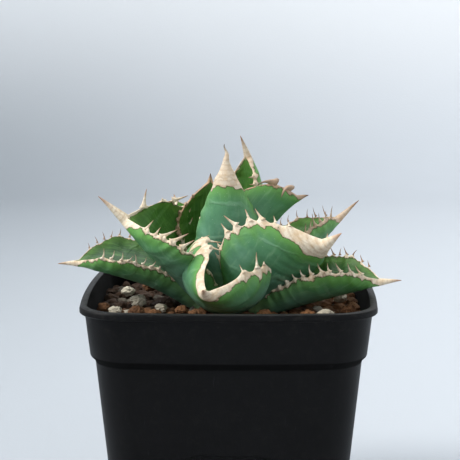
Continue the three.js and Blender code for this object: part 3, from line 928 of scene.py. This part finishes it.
def leafSkinLook(colours):
    look = Look("leafSkin")
    shade = {key: screen(*colour) for key, colour in colours.items()}
    spot = look.place()
    horn = look.attribute("horn")
    reach = look.attribute("reach")
    across = look.attribute("across")
    inner = look.attribute("inner").ramp(0.45, 0.55)
    tip = look.attribute("tip")
    along = look.attribute("along")
    tone = look.attribute("tone")
    innerPaintedLight = look.attribute("innerPaintedLight")
    darkTip = look.attribute("darkTip")
    hornTone = look.attribute("hornTone")
    follow = look.vector(across, reach * 0.16, inner * 9)
    streaks = look.noise(follow, 1.1, 4, 0.6)
    broad = look.noise(spot, 0.11, 3)
    mottle = look.noise(spot, 0.55, 4, 0.6)
    fine = look.noise(spot, 2.6, 4, 0.65)
    specks = look.cells(spot, 0.9)
    flat = look.vector(across, reach, inner * 4)
    ragged = look.noise(flat, 1.2, 5, 0.7) * 1.6 - 0.8
    drips = look.noise(flat, 0.42, 2) * 2 - 1
    edge = horn + ragged * 0.75 + drips * 1.1
    imprint = (reach * 0.62 + across * across * 0.018 + broad * 5).sine().ramp(0.9, 1)
    mask = edge.ramp(-0.06, 0.08)
    border = edge.ramp(-0.38, -0.04) * (1 - mask)
    nearHorn = horn.ramp(-6.5, -0.2)
    waxed = (along.ramp(0.95, 0.25) * 0.75 + mottle * 0.5 - nearHorn * 0.35).least(1).most(0)
    # the outer side: fresh green by the horn, blue-green under pale wax lower down
    back = look.mix(tone, shade["backFresh"], shade["backBlue"])
    wax = look.mix(broad.ramp(0.35, 0.7), shade["thinWax"], shade["thickWax"])
    back = look.mix(waxed * (0.55 + tone * 0.45), back, wax)
    back = look.mix(mottle.ramp(0.42, 0.78) * 0.4, back, shade["backMottle"])
    back = look.mix(streaks.ramp(0.5, 0.78) * 0.3, back, shade["backStreak"])
    back = look.mix(imprint * (1 - nearHorn) * 0.2, back, shade["imprint"])
    back = look.mix(nearHorn ** 3 * 0.35, back, shade["backEdge"])
    # the inner side: deeper green, painted lighter on leaves that lie open to the light and darker on
    # shaded ones
    deep = look.mix(innerPaintedLight, shade["innerDeep"], shade["innerBright"])
    deep = look.mix(streaks.ramp(0.45, 0.75) * 0.4, deep, shade["innerStreak"])
    deep = look.mix(mottle.ramp(0.45, 0.8) * 0.4, deep, shade["innerMottle"])
    deep = look.mix(nearHorn ** 3 * 0.35, deep, shade["innerEdge"])
    flesh = look.mix(inner, back, deep)
    flesh = look.mix(specks.ramp(0.1, 0.02) * 0.5, flesh, shade["speck"])
    flesh = look.mix(along.ramp(0.25, 0.0) * 0.5, flesh, shade["paleBase"])
    scars = look.noise(spot, 0.8, 5, 0.75).ramp(0.66, 0.74) * nearHorn
    flesh = look.mix(scars * 0.6, flesh, shade["scar"])
    flesh = look.mix(border * 0.7, flesh, shade["border"])
    # horn: ivory, stippled brown, darker at the points
    grow = (reach * 4.2 + ragged * 2.6).sine() * 0.5 + 0.5
    ivory = look.mix(mottle.ramp(0.3, 0.8), shade["ivory"], shade["ivoryMottle"])
    ivory = look.mix(hornTone, ivory, shade["oldHorn"])
    ivory = look.mix(grow.ramp(0.6, 0.98) * 0.3, ivory, shade["growthLine"])
    ivory = look.mix(fine.ramp(0.57, 0.7) * 0.5, ivory, shade["stipple"])
    ivory = look.mix(edge.ramp(0.5, 0.05) * 0.35, ivory, shade["hornEdge"])
    ring = (horn - 2.7).size().ramp(0.4, 0.05) * (1 - tip.ramp(0, 0.05))
    ivory = look.mix(ring * 0.25, ivory, shade["capRing"])
    stain = look.noise(spot, 0.32, 3).ramp(0.5, 0.66)
    ivory = look.mix(stain * 0.35, ivory, shade["stain"])
    brown = look.mix(darkTip, shade["lightTip"], shade["darkTip"])
    ivory = look.mix(tip.ramp(0.35, 1.0) * 0.85, ivory, brown)
    colour = look.mix(mask, flesh, ivory)
    rough = 0.46 + fine * 0.16 + mask * 0.08 - inner * 0.05 + waxed * 0.06
    relief = mask * 0.9 + border * -0.7 + grow * mask * 0.15 - ring * mask * 0.2
    relief = relief + fine * 0.2 + mottle * 0.35 + streaks * 0.35 + scars * 0.3 + imprint * (1 - mask) * 0.3
    look.set(Base_Color=colour, Roughness=rough, Normal=look.bump(relief, 0.00025, 0.85))
    look.set(Specular_IOR_Level=0.34)
    return look.material


def growLeaves():
    material = leafSkinLook(leafColours)
    for node, shape in leafShapes.items():
        leaf = {**leafDefaults, **shape}
        chance = random.Random(node)
        teeth = toothPlaces(leaf, chance)
        blade = growBlade(node + "_grown", leaf, teeth, leafSkinPlan)
        points = growTeeth(leaf, teeth, toothPlan, leafSkinPlan, node)
        piece = joinPieces(blade, [points])
        for key in ("tone", "innerPaintedLight", "darkTip"):
            setValues(piece.data, key, leaf[key])
        dress(piece, material)
        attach(piece, "root")
        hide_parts(node)


growLeaves()
print("leaves grown")

# grit: named loose grains, then a bed of many small ones
gritPlan = {
    "grains": 760,
    "tries": 90000,
    "seed": 7,
    "smallest": 2.8,
    "largest": 5.2,
    "half": 41.3,
    "corner": 12.5,
    "stemRoom": 8.5,  # kept free round the stem
    "looseRoom": 0.86,  # nearness to a loose grain, as a share of touching
    "packing": 0.36,  # nearness to each other, as a share of both sizes
    "sunk": 1.7,
    "pumiceShare": 0.07,
    "stretch": [(0.85, 1.15), (0.85, 1.15), (0.7, 0.95)],
    "soilGap": 1.0,
    "soilSunk": 2.2,
    "soilFoot": [(6, 0.99), (20, 0.94), (60, 0.84), (66, 0.8), (66, 0)],  # depth, share of the breadth
    "clay": [(66, 44, 29), (128, 88, 56)],
    "clayMottle": (120, 82, 50),
    "clayDust": (176, 136, 96),
    "pumice": [(164, 156, 138), (206, 198, 180)],
    "pumiceMottle": (168, 156, 138),
    "poreShade": (112, 100, 86),
    # painted shade colours, for the packed soil between the grains and the grains at the back left
    "paintedShade": [(24, 18, 14), (44, 32, 24)],
}


def lumpy(places, seed, strength, scale):
    # pushes the points of a rough ball in or out
    moved = []
    for x, y, z in places:
        way = Vector((x, y, z)).normalized()
        spot = way * scale + Vector((seed * 3.1, seed * 1.7, seed * 0.9))
        push = 1 + strength * noise.noise(spot) + strength * 0.45 * noise.noise(spot * 2.7)
        moved.append(Vector((x, y, z)) * push)
    return np.array(moved)


def bakedClay(plan):
    look = Look("bakedClay")
    spot = look.place()
    tone = look.attribute("tone")
    pale = look.attribute("pale")
    mottle = look.noise(spot, 0.9, 5, 0.65)
    fine = look.noise(spot, 5, 5, 0.7)
    pores = look.cells(spot, 2.4)
    clay = look.mix(tone, *shades(plan["clay"]))
    clay = look.mix(mottle.ramp(0.35, 0.7) * 0.6, clay, screen(*plan["clayMottle"]))
    clay = look.mix(fine.ramp(0.55, 0.75) * 0.4, clay, screen(*plan["clayDust"]))
    stone = look.mix(tone, *shades(plan["pumice"]))
    stone = look.mix(mottle.ramp(0.4, 0.75) * 0.5, stone, screen(*plan["pumiceMottle"]))
    # painted shade in the pits of the pumice
    stone = look.mix(pores.ramp(0.16, 0.05) * 0.7, stone, screen(*plan["poreShade"]))
    colour = look.mix(pale, clay, stone)
    # painted shade: darkens the packed soil between the grains and the grains at the back left
    paintedShade = look.attribute("paintedShade") * 0.85
    colour = look.mix(paintedShade, colour, look.mix(mottle, *shades(plan["paintedShade"])))
    relief = fine * 0.6 + mottle * 0.8 + pores.ramp(0.05, 0.3) * 0.6
    look.set(Base_Color=colour, Roughness=0.86 + fine * 0.1, Normal=look.bump(relief, 0.0003, 0.9))
    look.set(Specular_IOR_Level=0.3)
    return look.material


clayLook = bakedClay(gritPlan)


def makeLooseGrains():
    chance = random.Random(gritPlan["seed"])
    for node in sorted(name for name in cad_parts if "_grain_" in name):
        low, high = (np.array(corner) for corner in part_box(node))
        clearSelection()
        bpy.ops.mesh.primitive_ico_sphere_add(subdivisions=5, radius=0.5)
        grain = bpy.context.active_object
        grain.name = node + "_lump"
        places = lumpy(readPlaces(grain.data), chance.uniform(0, 90), 0.34, 1.5)
        reach = places.max(axis=0) - places.min(axis=0)
        places = (places - places.min(axis=0)) / reach
        setPlaces(grain.data, low + places * (high - low))
        setValues(grain.data, "tone", chance.random())
        setValues(grain.data, "pale", 1.0 if node.startswith("pumice") else 0.0)
        pickOnly(grain)
        bpy.ops.object.shade_smooth()
        dress(grain, clayLook)
        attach(grain, "root")
        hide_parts(node)


makeLooseGrains()
print("loose grains made")


def insideSquare(x, y, half, corner):
    dx = max(abs(x) - (half - corner), 0)
    dy = max(abs(y) - (half - corner), 0)
    return math.hypot(dx, dy) < corner


def makeBed(plan):
    chance = random.Random(plan["seed"] + 1)
    variants = []
    for i in range(6):
        clearSelection()
        bpy.ops.mesh.primitive_ico_sphere_add(subdivisions=2, radius=0.5)
        seedGrain = bpy.context.active_object
        variants.append(lumpy(readPlaces(seedGrain.data), 11 + i * 4.7, 0.5, 1.2))
        faces = np.array([list(polygon.vertices) for polygon in seedGrain.data.polygons])
        bpy.ops.object.delete()
    named = []
    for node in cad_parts:
        if "_grain_" in node:
            low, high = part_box(node)
            middle = (np.array(low) + np.array(high)) / 2 / mm
            named.append((middle[0], middle[1], (high[0] - low[0]) / mm / 2))
    spots = []
    tries = 0
    while len(spots) < plan["grains"] and tries < plan["tries"]:
        tries += 1
        x, y = chance.uniform(-42, 42), chance.uniform(-42, 42)
        size = chance.uniform(plan["smallest"], plan["largest"])
        if not insideSquare(x, y, plan["half"] - size * 0.4, plan["corner"]):
            continue
        if math.hypot(x, y) < plan["stemRoom"]:
            continue
        if any(math.hypot(x - a, y - b) < (size / 2 + r) * plan["looseRoom"] for a, b, r in named):
            continue
        room = plan["packing"]
        if any(abs(x - a) < 5 and math.hypot(x - a, y - b) < (size + r) * room for a, b, c, r in spots):
            continue
        spots.append((x, y, soilTop - plan["sunk"] + chance.uniform(-0.7, 0.9), size))
    points, corners, tones, pales, paintedShadeShares = [], [], [], [], []
    for i, (x, y, z, size) in enumerate(spots):
        shape = variants[i % len(variants)]
        spin = chance.uniform(0, 2 * math.pi)
        c, s = math.cos(spin), math.sin(spin)
        turn = np.array([[c, -s, 0], [s, c, 0], [0, 0, 1]])
        stretch = np.array([chance.uniform(*limits) for limits in plan["stretch"]])
        points.append((shape * stretch) @ turn.T * size + (x, y, z))
        corners.append(faces + i * len(shape))
        tones += [chance.random()] * len(shape)
        paintedShadeShares += [float(soften((y + 16) / 14) * soften((26 - x) / 30))] * len(shape)  # painted shade at the back left
        pales += [1.0 if chance.random() < plan["pumiceShare"] else 0.0] * len(shape)
    mesh = bpy.data.meshes.new("grit_bed_grains")
    mesh.from_pydata((np.concatenate(points) * mm).tolist(), [], np.concatenate(corners).tolist())
    bed = bpy.data.objects.new("grit_bed_grains", mesh)
    bpy.context.collection.objects.link(bed)
    setValues(mesh, "tone", np.array(tones))
    setValues(mesh, "pale", np.array(pales))
    setValues(mesh, "paintedShade", np.array(paintedShadeShares))
    print("bed grains", len(spots), "tries", tries)
    return bed


def makeSoil(plan):
    # the imported grit under the loose grains: a plain block with an uneven top, its colour darkened as
    # painted shade between the grains
    turns = np.linspace(0, 2 * math.pi, 161)
    ring = np.column_stack([np.cos(turns), np.sin(turns)])
    ring = ring / (np.abs(ring) ** 5).sum(axis=1, keepdims=True) ** (1 / 5)  # a rounded square
    ring = ring * (plan["half"] - plan["soilGap"])
    rows = []
    for share in np.linspace(0, 1, 40):
        spot = ring * share
        bump = np.array([noise.noise(Vector((x * 0.5, y * 0.5, 3))) for x, y in spot])
        height = soilTop - plan["soilSunk"] + bump * 0.7 * (1 if share > 0 else 0)
        rows.append(np.column_stack([spot, height]))
    for depth, share in plan["soilFoot"]:
        rows.append(np.column_stack([ring * share, np.full(len(ring), soilTop - depth)]))
    return wrapSkin("grit_bed_packed", np.array(rows), {"tone": 0.1, "pale": 0.0, "paintedShade": 1.0})


bedGrains = makeBed(gritPlan)
packed = makeSoil(gritPlan)
bed = joinPieces(packed, [bedGrains])
bed.name = "grit_bed_packed"
dress(bed, clayLook)
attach(bed, "root")
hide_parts("grit_bed")
print("grit laid")

stemPlan = {
    "radius": 9,
    "profile": [  # share of the radius, height over the grit
        (0, -19), (0.6, -18.5), (0.8, -12), (1, 0), (0.95, 4), (0.72, 8), (0.4, 10.4), (0, 11),
    ],
    "levels": 60,
    "sides": 64,
    "scar": 0.03,
    "bark": [(126, 112, 78), (166, 160, 118)],
    "fibre": (96, 76, 50),
}


def stemLook(plan):
    look = Look("stemBark")
    spot = look.place()
    rings = look.noise(look.stretch(spot, (0.2, 0.2, 1.6)), 1, 4)
    fine = look.noise(spot, 2, 4)
    bark = look.mix(rings.ramp(0.35, 0.7), *shades(plan["bark"]))
    bark = look.mix(fine.ramp(0.5, 0.8) * 0.5, bark, screen(*plan["fibre"]))
    look.set(Base_Color=bark, Roughness=0.7, Normal=look.bump(rings + fine * 0.4, 0.0004))
    return look.material


def makeStem(plan):
    heights = [z for share, z in plan["profile"]]
    shares = [share for share, z in plan["profile"]]
    z = np.linspace(heights[0], heights[-1], plan["levels"])
    reach = np.interp(z, heights, shares) * plan["radius"] * (1 + plan["scar"] * np.sin(z * 2.6))
    return wrapSkin("stem_core", turnedRows(zip(reach, soilTop + z), plan["sides"]))


stem = makeStem(stemPlan)
dress(stem, stemLook(stemPlan))
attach(stem, "root")
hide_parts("stem")
print("stem made")
